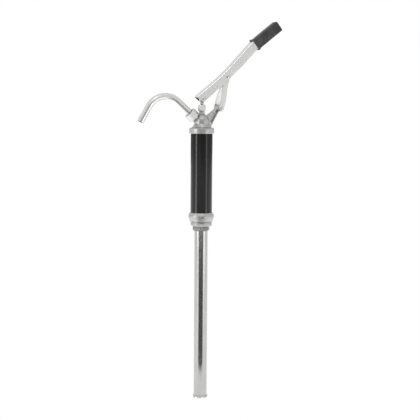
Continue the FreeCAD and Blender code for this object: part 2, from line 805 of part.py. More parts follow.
def make_piston():
    """Plate, cup seal, clamp, valve disc, stop and nut on the lower end of the rod."""
    plate = dim("piston_plate_thickness")
    cup = dim("cup_thickness")
    bore = ROD_THREAD_RADIUS + dim("seat_gap")
    hub = dim("piston_hub_radius")
    cup_radius = BARREL_BORE - dim("slide_gap")
    lower = ring("piston_plate", bore, BARREL_BORE - 1.5, plate)
    drill_ports(lower, "plate_port", plate)
    place(lower, z=dim("piston_rest"))
    seal = turned("piston_cup_seal", [
        (hub + dim("seat_gap"), 0),
        (cup_radius - 1, 0),
        (cup_radius, 1, 1),
        (cup_radius, 12),
        (cup_radius - 1.2, 12),
        (cup_radius - cup, cup + 1),
        (cup_radius - cup - 0.5, cup),
        (hub + dim("seat_gap"), cup),
    ])
    place(seal, z=dim("piston_rest") + plate)
    clamp = turned("piston_clamp", [
        (bore, 0), (hub, 0), (hub, cup), (cup_radius - cup - 1, cup),
        (cup_radius - cup - 1, cup + 5), (cup_radius - cup - 2, cup + 6), (bore, cup + 6),
    ])
    drill_ports(clamp, "clamp_port", cup + 6)
    place(clamp, z=dim("piston_rest") + plate)
    top = plate + cup + 6
    disc = ring("piston_valve_disc", ROD_RADIUS + dim("slide_gap"), dim("piston_disc_radius"), 2)
    place(disc, z=dim("piston_rest") + top)
    stop_z = dim("piston_rest") + top + 2 + dim("valve_lift") + dim("slide_gap")
    stop = ring("valve_stop", ROD_RADIUS + dim("seat_gap"), dim("valve_stop_radius"), 3)
    place(stop, z=stop_z)
    nut = new_body("piston_nut")
    sketch = new_sketch(nut, "nut_hexagon", "XY_Plane")
    across = dim("piston_nut_across_flats")
    add_hexagon(sketch, across)
    pad(nut, "nut_block", sketch, dim("piston_nut_height"))
    cylinder(nut, "Subtractive", "thread_bore", bore, 10, 0, 0, -1)
    hex_chamfer(nut, "lower_chamfer", across, as_size(0), False)
    place(nut, z=dim("piston_rest") - dim("piston_nut_height"))


def drill_ports(body, name, depth):
    """Six ports through a piston disc."""
    doc.recompute()
    before = body.Shape.Volume
    for step in range(6):
        angle = math.radians(60 * step)
        x = dim("port_circle") * math.cos(angle)
        y = dim("port_circle") * math.sin(angle)
        cylinder(body, "Subtractive", f"{name}_{step}", dim("port_radius"), depth + 2, x, y, -1)
    doc.recompute()
    if body.Shape.Volume >= before:
        raise ValueError(f"{body.Label}: ports removed nothing")


def make_piston_rod():
    """Rod from the piston nut to the flat eye at the lever; its origin is the eye's centre."""
    shoulder = dim("piston_rest") + dim("piston_plate_thickness") + dim("cup_thickness") + 6 - ROD_PIN_Z
    tail = dim("piston_rest") - 8 - ROD_PIN_Z
    neck = -dim("eye_radius") - 1
    body = turned("piston_rod", [
        (0, tail), (ROD_THREAD_RADIUS - 0.8, tail), (ROD_THREAD_RADIUS, tail + 0.8),
        (ROD_THREAD_RADIUS, shoulder), (ROD_RADIUS, shoulder), (ROD_RADIUS, neck), (0, neck),
    ])
    eye = new_sketch(body, "eye_outline")
    radius = dim("eye_radius")
    add_outline(eye, [(-ROD_RADIUS, neck - 4), (ROD_RADIUS, neck - 4), (ROD_RADIUS, neck),
                      (radius, 0), (-radius, 0, 1.02 * radius), (-ROD_RADIUS, neck)])
    pad(body, "eye", eye, dim("eye_thickness"), symmetric=True)
    cylinder_across(body, "Subtractive", "pin_hole", PIN_RADIUS + dim("running_gap"), 20)
    place(body, z=ROD_PIN_Z)


# corners of the lever's back, in the lever's own frame: rod end, sag, crest and grip end
LEVER_BACK = [(-105.0, 16.7), (-5.8, 13.0), (116.0, 26.0), (209.0, 21.9)]
LEVER_BEND_RADII = (650.0, 100.0)
CREST_X, CREST_Z = LEVER_BACK[2]
GRIP_END_X, GRIP_END_Z = LEVER_BACK[3]
GRIP_SLOPE = math.degrees(math.atan2(CREST_Z - GRIP_END_Z, GRIP_END_X - CREST_X))
GRIP_START_X = 122.5


def lever_line(inset=0.0):
    """Corner points of the lever's back, inset from its outer face, in the lever's own frame.

    The frame has its origin on the lever pin and +X along the line from the rod pin to it.
    """
    sag_radius, crest_radius = LEVER_BEND_RADII
    corners = [Vector(x, z - inset, 0) for x, z in LEVER_BACK]
    return corners, (sag_radius - inset, crest_radius + inset)


def tangent_points(before, corner, after, radius):
    """Where an arc of this radius leaves the two lines that meet in a corner."""
    back = (before - corner).normalize()
    ahead = (after - corner).normalize()
    half = math.acos(max(-1.0, min(1.0, back.dot(ahead)))) / 2
    reach = radius / math.tan(half)
    return corner + back * reach, corner + ahead * reach


def lever_back(inset=0.0):
    """The lever's back as outline corners from the rod end to the grip end."""
    (rear, sag, crest, front), (sag_radius, crest_radius) = lever_line(inset)
    sag_in, sag_out = tangent_points(rear, sag, crest, sag_radius)
    crest_in, crest_out = tangent_points(sag, crest, front, crest_radius)
    stretch = dim("crank_length") / DIMENSIONS["crank_length"]
    corners = [(stretch * rear.x, rear.y), (sag_in.x, sag_in.y), (sag_out.x, sag_out.y, sag_radius),
               (crest_in.x, crest_in.y), (crest_out.x, crest_out.y, -crest_radius),
               (front.x, front.y)]
    return corners


def make_lever():
    """Pressed channel lever, open downwards, with its origin on the lever pin."""
    body = new_body("lever")
    outline = new_sketch(body, "side_outline")
    crank = dim("crank_length")
    edge = 7.6
    corners = lever_back() + [
        (207.8, -0.8),
        (126, 2.9),
        (108, 0.9),
        (52, -5.0),
        (6, -edge, 400),
        (-crank, -edge),
        (-crank - edge, 0, -edge),
    ]
    add_outline(outline, corners)
    pad(body, "channel_block", outline, dim("lever_width"), symmetric=True)
    round_edges(body, "back_bends", 3.0, is_back_edge)
    wall = dim("lever_wall")
    hollow = new_sketch(body, "hollow_outline")
    inside = lever_back(wall.value)
    inside[0] = (inside[0][0] - 10, inside[0][1] + 0.5)
    inside[-1] = (inside[-1][0] + 10, inside[-1][1] - 0.44)
    add_outline(hollow, inside + [(225, -25), (-crank - 30, -25)])
    pocket(body, "hollow", hollow, 2 * LEVER_INSIDE, symmetric=True)
    hole = PIN_RADIUS + dim("seat_gap")
    cylinder_across(body, "Subtractive", "lever_pin_hole", hole, 60)
    cylinder_across(body, "Subtractive", "rod_pin_hole", hole, 60, -crank)
    place(body, x=LEVER_PIN_X, z=LEVER_PIN_Z, turn=-dim("lever_angle"))


def is_back_edge(edge):
    """True for the long edges where the lever's back meets its sides."""
    box = edge.BoundBox
    flat = abs(box.YMax - box.YMin) < 1e-6
    on_side = abs(abs(box.YMax) - HALF_LEVER.value) < 1e-3
    return flat and on_side and box.ZMin > 13.0 and (box.XMax - box.XMin) > 5.0


def make_hand_grip():
    """Moulded sleeve over the lever's end, with a lip where it starts."""
    body = new_body("hand_grip")
    width = dim("grip_width")
    height = dim("grip_height")
    length = dim("grip_length")
    wall = dim("grip_wall")
    block = new_sketch(body, "sleeve_outline", "XZ_Plane")
    add_outline(block, [(0, wall - height), (length, wall - height), (length, wall), (0, wall)])
    pad(body, "sleeve_block", block, width, symmetric=True)
    round_edges(body, "rounded_edges", 5.0, is_long_edge)
    round_edges(body, "rounded_end", 3.0, lambda edge: edge.BoundBox.XMin > length.value - 0.01)
    lip = new_sketch(body, "lip_outline", "XZ_Plane")
    rise = (dim("grip_lip_width") - width) / 2
    lip_end = dim("grip_lip_length")
    foot = wall - height - rise
    add_outline(lip, [(0, foot), (lip_end, foot), (lip_end, wall + rise), (0, wall + rise)])
    pad(body, "lip", lip, dim("grip_lip_width"), symmetric=True)
    round_edges(body, "lip_corners", 6.0, is_lip_corner)
    cavity = new_sketch(body, "cavity_outline", "XZ_Plane")
    gap = dim("seat_gap")
    add_outline(cavity, [(-1, -24 - gap), (length - 1.2, -24 - gap), (length - 1.2, gap), (-1, gap)])
    pocket(body, "cavity", cavity, dim("lever_width") + 2 * gap, symmetric=True)
    slope = math.radians(GRIP_SLOPE)
    local_x = GRIP_START_X
    local_z = CREST_Z - (GRIP_START_X - CREST_X) * math.tan(slope)
    angle = dim("lever_angle")
    x = LEVER_PIN_X + local_x * cosine(angle) - local_z * sine(angle)
    z = LEVER_PIN_Z + local_x * sine(angle) + local_z * cosine(angle)
    place(body, x=x, z=z, turn=GRIP_SLOPE - angle)


def is_long_edge(edge):
    """True for straight edges along the grip."""
    box = edge.BoundBox
    return box.XMax - box.XMin > 20.0


def is_lip_corner(edge):
    """True for the lip's four corner edges."""
    box = edge.BoundBox
    along = abs(box.XLength - dim("grip_lip_length").value) < 0.01
    outermost = abs(box.YMax) > dim("grip_lip_width").value / 2 - 0.1
    return along and outermost and box.YLength < 0.01 and box.ZLength < 0.01


def make_link_plate(name, side):
    """One joggled plate from the bracket pin up into the lever; side is -1 front, +1 rear."""
    body = new_body(name)
    thickness = dim("link_thickness")
    upper_outer = LEVER_INSIDE - 0.5
    upper_inner = upper_outer - thickness
    lower_inner = dim("boss_width") / 2 + 0.5
    lower_outer = lower_inner + thickness
    half = dim("link_width") / 2
    flank = new_sketch(body, "strip_outline", "YZ_Plane")
    bottom = -half - 1
    top = LINK_LENGTH + half + 1
    knee_low = LINK_LENGTH - dim("link_knee_low")
    knee_high = LINK_LENGTH - dim("link_knee_high")
    inner = [(lower_inner, bottom), (lower_inner, knee_low), (upper_inner, knee_high), (upper_inner, top)]
    outer = [(upper_outer, top), (upper_outer, knee_high), (lower_outer, knee_low), (lower_outer, bottom)]
    add_outline(flank, [(side * y, z) for y, z in inner + outer])
    pad(body, "strip", flank, 2 * half + 4, symmetric=True)
    plan = new_sketch(body, "plan_outline")
    reach = half + 5
    add_outline(plan, [(-reach, bottom - 5), (reach, bottom - 5), (reach, top + 5), (-reach, top + 5)])
    add_outline(plan, [(half, 0, 1.02 * half), (half, LINK_LENGTH),
                         (-half, LINK_LENGTH, 1.02 * half), (-half, 0)])
    pocket(body, "trimmed_ends", plan, 80, symmetric=True)
    hole = PIN_RADIUS + dim("seat_gap")
    cylinder_across(body, "Subtractive", "bracket_pin_hole", hole, 80)
    cylinder_across(body, "Subtractive", "lever_pin_hole", PIN_RADIUS + dim("running_gap"), 80, 0, LINK_LENGTH)
    place(body, x=dim("bracket_pin_x"), z=BRACKET_PIN_Z, turn=LINK_TILT)


def make_link_spacer():
    """Bush on the lever pin between the two link plates."""
    half = LEVER_INSIDE - 0.5 - dim("link_thickness")
    body = new_body("link_spacer")
    cylinder_across(body, "Additive", "bush", 6, 2 * half)
    cylinder_across(body, "Subtractive", "pin_hole", PIN_RADIUS + dim("running_gap"), 60)
    place(body, x=LEVER_PIN_X, z=LEVER_PIN_Z)


def rivet(body, name, from_y, to_y, outward):
    """A pin from one y to another with a domed head beyond the outward end."""
    doc.recompute()
    radius = dim("head_diameter") / 2
    height = dim("head_height")
    sketch = new_sketch(body, f"{name}_outline", "YZ_Plane")
    tip = to_y + outward * height
    sag = (radius * radius + height * height) / (2 * height)
    turning = sag if outward > 0 else -sag
    add_outline(sketch, [(from_y, 0), (from_y, PIN_RADIUS), (to_y, PIN_RADIUS), (to_y, radius),
                         (tip, 0, -turning)])
    feature = add_feature(body, "Revolution", name, sketch)
    feature.ReferenceAxis = (sketch, ["H_Axis"])
    feature.Angle = 360


def make_pins():
    """Bracket pin, lever pin and the two stub pins that drive the rod's eye."""
    outer = dim("boss_width") / 2 + 0.5 + dim("link_thickness")
    bracket = new_body("bracket_pin")
    rivet(bracket, "front_half", as_size(0), -outer, -1)
    rivet(bracket, "rear_half", as_size(0), outer, 1)
    place(bracket, x=dim("bracket_pin_x"), z=BRACKET_PIN_Z)
    lever = new_body("lever_pin")
    rivet(lever, "front_half", as_size(0), -HALF_LEVER, -1)
    rivet(lever, "rear_half", as_size(0), HALF_LEVER, 1)
    place(lever, x=LEVER_PIN_X, z=LEVER_PIN_Z)
    tip = dim("eye_thickness") / 2 + dim("slide_gap")
    for name, side in (("rod_pin_front", -1), ("rod_pin_rear", 1)):
        body = new_body(name)
        rivet(body, "stub", side * tip, side * HALF_LEVER, side)
        place(body, z=ROD_PIN_Z)


def check_and_export():
    """Stop on any broken object or shape, then write one STEP file per sub-part."""
    doc.recompute()
    for item in doc.Objects:
        if "Invalid" in item.State or "Error" in item.State:
            raise ValueError(f"{item.Name} is in state {item.State}")
    os.makedirs("parts", exist_ok=True)
    for name, body in built.items():
        shape = body.Shape
        if shape.isNull() or not shape.isValid() or len(shape.Solids) != 1:
            raise ValueError(f"{name} is not one valid solid")
        shape.exportStep(f"parts/{name}.step")
        box = shape.BoundBox
        FreeCAD.Console.PrintMessage(
            f"{name}: x {box.XMin:.1f}..{box.XMax:.1f} y {box.YMin:.1f}..{box.YMax:.1f} "
            f"z {box.ZMin:.1f}..{box.ZMax:.1f} volume {shape.Volume:.0f}\n")


make_barrel()
make_gaskets()
make_base_collar()
make_set_screw()
make_foot_valve()
make_suction_joint()
make_suction_tubes()
make_foot_strainer()
make_head_casting()
make_gland()
make_spout()
make_piston()
make_piston_rod()
make_lever()
make_hand_grip()
make_link_plate("front_link_plate", -1)
make_link_plate("rear_link_plate", 1)
make_link_spacer()
make_pins()
check_and_export()
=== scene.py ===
"""Looks of a hand lever drum pump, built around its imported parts.

Every length is in metres and every piece is made in the parts' own frame: +Z runs up the pump
axis from the face of the bung flange, and +X points towards the lever grip.
"""
import json
import logging
import math
from dataclasses import dataclass, field
from enum import Enum
from typing import Iterable, Sequence

import bmesh
import bpy
from mathutils import Matrix, Vector

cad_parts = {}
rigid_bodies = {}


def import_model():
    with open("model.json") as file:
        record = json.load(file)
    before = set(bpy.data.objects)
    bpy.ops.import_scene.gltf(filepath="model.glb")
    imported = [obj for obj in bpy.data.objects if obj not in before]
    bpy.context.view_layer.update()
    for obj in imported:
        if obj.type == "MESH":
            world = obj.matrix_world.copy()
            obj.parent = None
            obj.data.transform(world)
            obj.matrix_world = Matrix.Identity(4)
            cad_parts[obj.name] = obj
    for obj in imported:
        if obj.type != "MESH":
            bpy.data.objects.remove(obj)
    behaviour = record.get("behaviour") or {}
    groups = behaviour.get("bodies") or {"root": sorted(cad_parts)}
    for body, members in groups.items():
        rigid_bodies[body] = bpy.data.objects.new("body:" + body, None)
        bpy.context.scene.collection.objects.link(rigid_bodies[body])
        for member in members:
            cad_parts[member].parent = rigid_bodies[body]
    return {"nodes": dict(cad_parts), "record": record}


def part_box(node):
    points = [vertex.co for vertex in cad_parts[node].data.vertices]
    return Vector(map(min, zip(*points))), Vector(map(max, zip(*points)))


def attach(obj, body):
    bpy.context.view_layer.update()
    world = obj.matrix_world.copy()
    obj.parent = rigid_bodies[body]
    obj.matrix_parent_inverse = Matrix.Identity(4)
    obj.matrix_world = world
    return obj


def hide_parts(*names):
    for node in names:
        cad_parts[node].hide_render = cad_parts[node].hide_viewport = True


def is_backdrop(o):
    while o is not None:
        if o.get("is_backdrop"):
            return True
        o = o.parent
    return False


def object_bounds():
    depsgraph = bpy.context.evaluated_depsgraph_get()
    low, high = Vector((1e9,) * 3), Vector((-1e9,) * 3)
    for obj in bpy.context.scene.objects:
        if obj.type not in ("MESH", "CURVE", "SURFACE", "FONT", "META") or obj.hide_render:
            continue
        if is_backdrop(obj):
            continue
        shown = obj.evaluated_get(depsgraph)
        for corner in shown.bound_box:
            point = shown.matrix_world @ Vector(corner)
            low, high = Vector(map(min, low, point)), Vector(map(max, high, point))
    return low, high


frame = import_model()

LOG = logging.getLogger("drum_pump")
MM = 0.001


class Grain(Enum):
    """Direction in which a metal's tool marks are drawn out."""

    NONE = (1.0, 1.0, 1.0)
    ALONG_Z = (1.0, 1.0, 0.02)
    ALONG_X = (0.02, 1.0, 1.0)
    ROUND_Z = (0.04, 0.04, 1.0)


class NodeBook:
    """Adds and joins shader nodes in one material."""

    def __init__(self, name: str) -> None:
        """Start a material with a principled shader.

        Args:
            name: The material's name.
        """
        self.material = bpy.data.materials.new(name)
        self.material.use_nodes = True
        self.tree = self.material.node_tree
        self.tree.nodes.clear()
        self.output = self.tree.nodes.new("ShaderNodeOutputMaterial")
        self.shader = self.tree.nodes.new("ShaderNodeBsdfPrincipled")
        self.tree.links.new(self.shader.outputs["BSDF"], self.output.inputs["Surface"])
        self.place = self.tree.nodes.new("ShaderNodeTexCoord").outputs["Object"]

    def constant(self, socket: str, value: float | tuple[float, ...]) -> None:
        """Set a number or colour straight on the shader."""
        self.shader.inputs[socket].default_value = value

    def join(self, source: bpy.types.NodeSocket, socket: str) -> None:
        """Feed a shader input from a node output."""
        self.tree.links.new(source, self.shader.inputs[socket])

    def stretched(self, grain: Grain, turn: float = 0.0) -> bpy.types.NodeSocket:
        """Object coordinates drawn out along a grain.

        Args:
            grain: Direction of the marks.
            turn: Angle in degrees about Y by which the coordinates are turned first.

        Returns:
            A vector output.
        """
        if turn:
            turned = self.tree.nodes.new("ShaderNodeMapping")
            turned.inputs["Rotation"].default_value = (0.0, math.radians(turn), 0.0)
            self.tree.links.new(self.place, turned.inputs["Vector"])
            source = turned.outputs["Vector"]
        else:
            source = self.place
        mapping = self.tree.nodes.new("ShaderNodeMapping")
        mapping.inputs["Scale"].default_value = grain.value
        self.tree.links.new(source, mapping.inputs["Vector"])
        return mapping.outputs["Vector"]

    def noise(self, scale: float, detail: float, vector: bpy.types.NodeSocket | None = None,
              rough: float = 0.5) -> bpy.types.NodeSocket:
        """Noise with features one over the scale metres wide.

        Args:
            scale: Features per metre.
            detail: Octaves of finer noise.
            vector: Coordinates, or the object's own.
            rough: How strong the finer octaves are.

        Returns:
            A value output between 0 and 1.
        """
        node = self.tree.nodes.new("ShaderNodeTexNoise")
        node.inputs["Scale"].default_value = scale
        node.inputs["Detail"].default_value = detail
        node.inputs["Roughness"].default_value = rough
        self.tree.links.new(vector or self.place, node.inputs["Vector"])
        return node.outputs["Fac"]

    def cells(self, scale: float, edges: bool = False) -> bpy.types.NodeSocket:
        """Voronoi cells, as the distance to a cell's centre or edge.

        Args:
            scale: Cells per metre.
            edges: Measure from the cell's edge instead of its centre.

        Returns:
            A distance output.
        """
        node = self.tree.nodes.new("ShaderNodeTexVoronoi")
        node.feature = "DISTANCE_TO_EDGE" if edges else "F1"
        node.inputs["Scale"].default_value = scale
        self.tree.links.new(self.place, node.inputs["Vector"])
        return node.outputs["Distance"]

    def cell_tint(self, scale: float) -> bpy.types.NodeSocket:
        """A random value for each Voronoi cell, as a colour output."""
        node = self.tree.nodes.new("ShaderNodeTexVoronoi")
        node.inputs["Scale"].default_value = scale
        self.tree.links.new(self.place, node.inputs["Vector"])
        return node.outputs["Color"]

    def spread(self, source: bpy.types.NodeSocket, low: float, high: float, start: float = 0.3,
               end: float = 0.7) -> bpy.types.NodeSocket:
        """Map a value between start and end to low and high.

        Args:
            source: The value.
            low: Result at start.
            high: Result at end.
            start: Value that gives low.
            end: Value that gives high.

        Returns:
            The mapped value.
        """
        node = self.tree.nodes.new("ShaderNodeMapRange")
        for name, amount in (("From Min", start), ("From Max", end), ("To Min", low), ("To Max", high)):
            node.inputs[name].default_value = amount
        self.tree.links.new(source, node.inputs["Value"])
        return node.outputs["Result"]

    def mixed(self, factor: bpy.types.NodeSocket, first: bpy.types.NodeSocket | tuple[float, ...],
              second: bpy.types.NodeSocket | tuple[float, ...]) -> bpy.types.NodeSocket:
        """Blend two colours.

        Args:
            factor: 0 gives the first, 1 the second.
            first: A colour or a colour output.
            second: A colour or a colour output.

        Returns:
            The blended colour.
        """
        node = self.tree.nodes.new("ShaderNodeMix")
        node.data_type = "RGBA"
        self.tree.links.new(factor, node.inputs[0])
        for socket, amount in ((node.inputs[6], first), (node.inputs[7], second)):
            if isinstance(amount, tuple):
                socket.default_value = amount
            else:
                self.tree.links.new(amount, socket)
        return node.outputs[2]

    def edge_wear(self, low: float = 0.52, high: float = 0.6) -> bpy.types.NodeSocket:
        """1 along sharp outer edges and 0 on flats, broken up by noise."""
        geometry = self.tree.nodes.new("ShaderNodeNewGeometry")
        edges = self.spread(geometry.outputs["Pointiness"], 0.0, 1.0, low, high)
        broken = self.spread(self.noise(240.0, 4.0), 0.2, 1.0)
        node = self.tree.nodes.new("ShaderNodeMath")
        node.operation = "MULTIPLY"
        self.tree.links.new(edges, node.inputs[0])
        self.tree.links.new(broken, node.inputs[1])
        return node.outputs[0]

    def painted_corner_shade(self, source: bpy.types.NodeSocket, reach: float, depth: float) -> bpy.types.NodeSocket:
        """Paint ambient-occlusion shade into a colour, darker in hollows and close corners.

        Args:
            source: The colour.
            reach: Distance in metres within which neighbouring surfaces shade.
            depth: Share of the colour taken away in the deepest corner.

        Returns:
            The shaded colour.
        """
        # Painted shade: the occlusion value darkens the colour where neighbouring surfaces are close.
        occlusion = self.tree.nodes.new("ShaderNodeAmbientOcclusion")
        occlusion.samples = 8
        occlusion.inputs["Distance"].default_value = reach
        unshaded_share = self.spread(occlusion.outputs["AO"], 1.0 - depth, 1.0, 0.15, 0.85)
        node = self.tree.nodes.new("ShaderNodeVectorMath")
        node.operation = "SCALE"
        self.tree.links.new(source, node.inputs[0])
        self.tree.links.new(unshaded_share, node.inputs["Scale"])
        return node.outputs["Vector"]

    def bump(self, height: bpy.types.NodeSocket, strength: float, distance: float,
             under: bpy.types.NodeSocket | None = None) -> bpy.types.NodeSocket:
        """A bump from a height.

        Args:
            height: Height, 0 to 1.
            strength: Share of the bump that shows.
            distance: Depth in metres of a height of 1.
            under: Normal of a coarser bump beneath this one.

        Returns:
            The bumped normal.
        """
        node = self.tree.nodes.new("ShaderNodeBump")
        node.inputs["Strength"].default_value = strength
        node.inputs["Distance"].default_value = distance
        self.tree.links.new(height, node.inputs["Height"])
        if under is not None:
            self.tree.links.new(under, node.inputs["Normal"])
        return node.outputs["Normal"]


def rgb(red: float, green: float, blue: float) -> tuple[float, float, float, float]:
    """An opaque colour."""
    return (red, green, blue, 1.0)


@dataclass(frozen=True)
class GlossPaint:
    """Sprayed enamel with orange peel, dust and hairline rub marks."""

    name: str
    colour: tuple[float, float, float, float]
    dust: tuple[float, float, float, float]
    roughness: float = 0.16

    def build(self) -> bpy.types.Material:
        """Make the paint."""
        book = NodeBook(self.name)
        book.constant("Specular IOR Level", 0.36)
        book.constant("Coat Weight", 0.12)
        book.constant("Coat Roughness", 0.08)
        veil = book.spread(book.noise(28.0, 6.0), 0.0, 0.35, 0.45, 0.75)
        book.join(book.mixed(veil, self.colour, self.dust), "Base Color")
        rubs = book.noise(900.0, 3.0, book.stretched(Grain.ROUND_Z))
        book.join(book.spread(rubs, self.roughness, self.roughness + 0.12, 0.5, 0.8), "Roughness")
        peel = book.bump(book.noise(420.0, 2.0), 0.05, 0.0004)
        book.join(peel, "Normal")
        return book.material


@dataclass(frozen=True)
class CastMetal:
    """Sand-cast light alloy: fine granular skin, painted occlusion shade in hollows, bright rubbed edges."""

    name: str
    colour: tuple[float, float, float, float]
    shade: tuple[float, float, float, float]
    bright: tuple[float, float, float, float]
    roughness: float = 0.32
    metallic: float = 0.84

    def build(self) -> bpy.types.Material:
        """Make the casting's skin."""
        book = NodeBook(self.name)
        book.constant("Metallic", self.metallic)
        blotch = book.spread(book.noise(55.0, 5.0), 0.0, 1.0, 0.35, 0.7)
        skin = book.mixed(blotch, self.colour, self.shade)
        worn = book.mixed(book.edge_wear(), skin, self.bright)
        # Painted shade: occlusion darkens the worn skin in hollows and corners.
        book.join(book.painted_corner_shade(worn, 0.006, 0.6), "Base Color")
        book.join(book.spread(book.noise(160.0, 4.0), self.roughness, self.roughness + 0.16), "Roughness")
        sand = book.bump(book.noise(900.0, 4.0, rough=0.65), 0.10, 0.0005)
        book.join(book.bump(book.noise(70.0, 2.0), 0.06, 0.0010, sand), "Normal")
        return book.material


@dataclass(frozen=True)
class DrawnMetal:
    """Plated, ground or polished metal with drawn marks, faint stains and painted shade in hollows."""

    name: str
    colour: tuple[float, float, float, float]
    stain: tuple[float, float, float, float]
    roughness: float
    spread: float
    grain: Grain
    marks: float = 0.05
    turn: float = 0.0
    spangle: float = 0.0
    metallic: float = 1.0
    # Reach in metres and depth of the painted occlusion shade in hollows and corners.
    reach: float = 0.020
    painted_shade_depth: float = 0.85
    stain_scale: float = 36.0
    mark_scale: float = 2600.0
    spangle_scale: float = 260.0
    mark_depth: float = 0.0002

    def build(self) -> bpy.types.Material:
        """Make the metal."""
        book = NodeBook(self.name)
        book.constant("Metallic", self.metallic)
        cloud = book.spread(book.noise(self.stain_scale, 6.0), 0.0, 1.0, 0.4, 0.75)
        skin = book.mixed(cloud, self.colour, self.stain)
        lines = book.noise(self.mark_scale, 3.0, book.stretched(self.grain, self.turn))
        if self.spangle > 0.0:
            tint = book.spread(book.cell_tint(self.spangle_scale), 0.0, self.spangle, 0.0, 1.0)
            skin = book.mixed(tint, skin, self.stain)
        # Painted shade: occlusion darkens the base colour in hollows, corners and bores.
        book.join(book.painted_corner_shade(skin, self.reach, self.painted_shade_depth), "Base Color")
        smudge = book.spread(book.noise(90.0, 4.0), self.roughness, self.roughness + self.spread)
        book.join(smudge, "Roughness")
        book.join(book.bump(lines, self.marks, self.mark_depth), "Normal")
        return book.material


@dataclass(frozen=True)
class Moulded:
    """Moulded rubber or plastic with a pebbled skin and handling shine."""

    name: str
    colour: tuple[float, float, float, float]
    worn: tuple[float, float, float, float]
    roughness: float = 0.5
    pebble: float = 900.0
    depth: float = 0.10

    def build(self) -> bpy.types.Material:
        """Make the moulding."""
        book = NodeBook(self.name)
        book.constant("Specular IOR Level", 0.45)
        rub = book.spread(book.noise(45.0, 5.0), 0.0, 1.0, 0.4, 0.7)
        skin = book.mixed(rub, self.colour, self.worn)
        book.join(book.mixed(book.edge_wear(), skin, self.worn), "Base Color")
        book.join(book.spread(rub, self.roughness + 0.08, self.roughness - 0.06, 0.0, 1.0), "Roughness")
        pebbles = book.bump(book.cells(self.pebble), self.depth, 0.0003)
        book.join(book.bump(book.noise(2200.0, 2.0), 0.08, 0.0002, pebbles), "Normal")
        return book.material


class Finishes:
    """Every finish of the pump, made once."""

    def __init__(self) -> None:
        """Build the materials by slot name."""
        lever_tilt = -40.5
        recipes = {
            "barrel_paint": GlossPaint("black_enamel", rgb(0.0025, 0.0025, 0.0027),
                                       rgb(0.006, 0.006, 0.006)),
            "cast_metal": CastMetal("cast_alloy", rgb(0.49, 0.49, 0.48), rgb(0.43, 0.43, 0.42),
                                    rgb(0.76, 0.76, 0.75)),
            "zinc_steel": DrawnMetal("zinc_fastener", rgb(0.66, 0.66, 0.65), rgb(0.5, 0.5, 0.49),
                                     0.28, 0.12, Grain.NONE),
            "seal_rubber": Moulded("seal_rubber", rgb(0.02, 0.02, 0.02), rgb(0.05, 0.05, 0.05)),
            "brass": DrawnMetal("machined_brass", rgb(0.75, 0.56, 0.26), rgb(0.55, 0.40, 0.18),
                                0.24, 0.14, Grain.ROUND_Z),
            "nut_metal": DrawnMetal("turned_nut", rgb(0.66, 0.66, 0.65), rgb(0.58, 0.58, 0.57),
                                    0.34, 0.10, Grain.NONE, marks=0.05, metallic=0.7),
            # A darker copy of the turned-nut metal: its dark tone is painted shade standing in for the nut's
            # shadow.
            "dark_nut": DrawnMetal("painted_shade_turned_nut", rgb(0.26, 0.26, 0.255), rgb(0.20, 0.20, 0.195),
                                   0.36, 0.12, Grain.NONE, marks=0.05, metallic=0.8),
            "polished_tube": DrawnMetal("polished_tube", rgb(0.455, 0.455, 0.445), rgb(0.42, 0.42, 0.41),
                                        0.13, 0.06, Grain.ALONG_Z, marks=0.02),
            # A lighter, less metallic copy of the tube metal: painted light that brightens the spout's
            # reflections.
            "spout_finish": DrawnMetal("spout_painted_light", rgb(0.72, 0.72, 0.71), rgb(0.66, 0.66, 0.65),
                                       0.22, 0.08, Grain.NONE, marks=0.02, metallic=0.8),
            "dark_plastic": Moulded("foot_plastic", rgb(0.03, 0.03, 0.032), rgb(0.08, 0.08, 0.08)),
            "polished_rod": DrawnMetal("ground_rod", rgb(0.72, 0.72, 0.71), rgb(0.58, 0.58, 0.57),
                                       0.16, 0.1, Grain.ALONG_Z),
            "plated_steel": DrawnMetal("plated_sheet", rgb(0.76, 0.76, 0.75), rgb(0.71, 0.71, 0.70),
                                       0.19, 0.06, Grain.ALONG_X, marks=0.02, turn=lever_tilt,
                                       spangle=0.05, metallic=0.88),
            "grip_rubber": Moulded("grip_rubber", rgb(0.022, 0.022, 0.023), rgb(0.05, 0.05, 0.05),
                                   roughness=0.46),
        }
        self.by_slot = {slot: recipe.build() for slot, recipe in recipes.items()}

    def __getitem__(self, slot: str) -> bpy.types.Material:
        """The material of one slot."""
        return self.by_slot[slot]


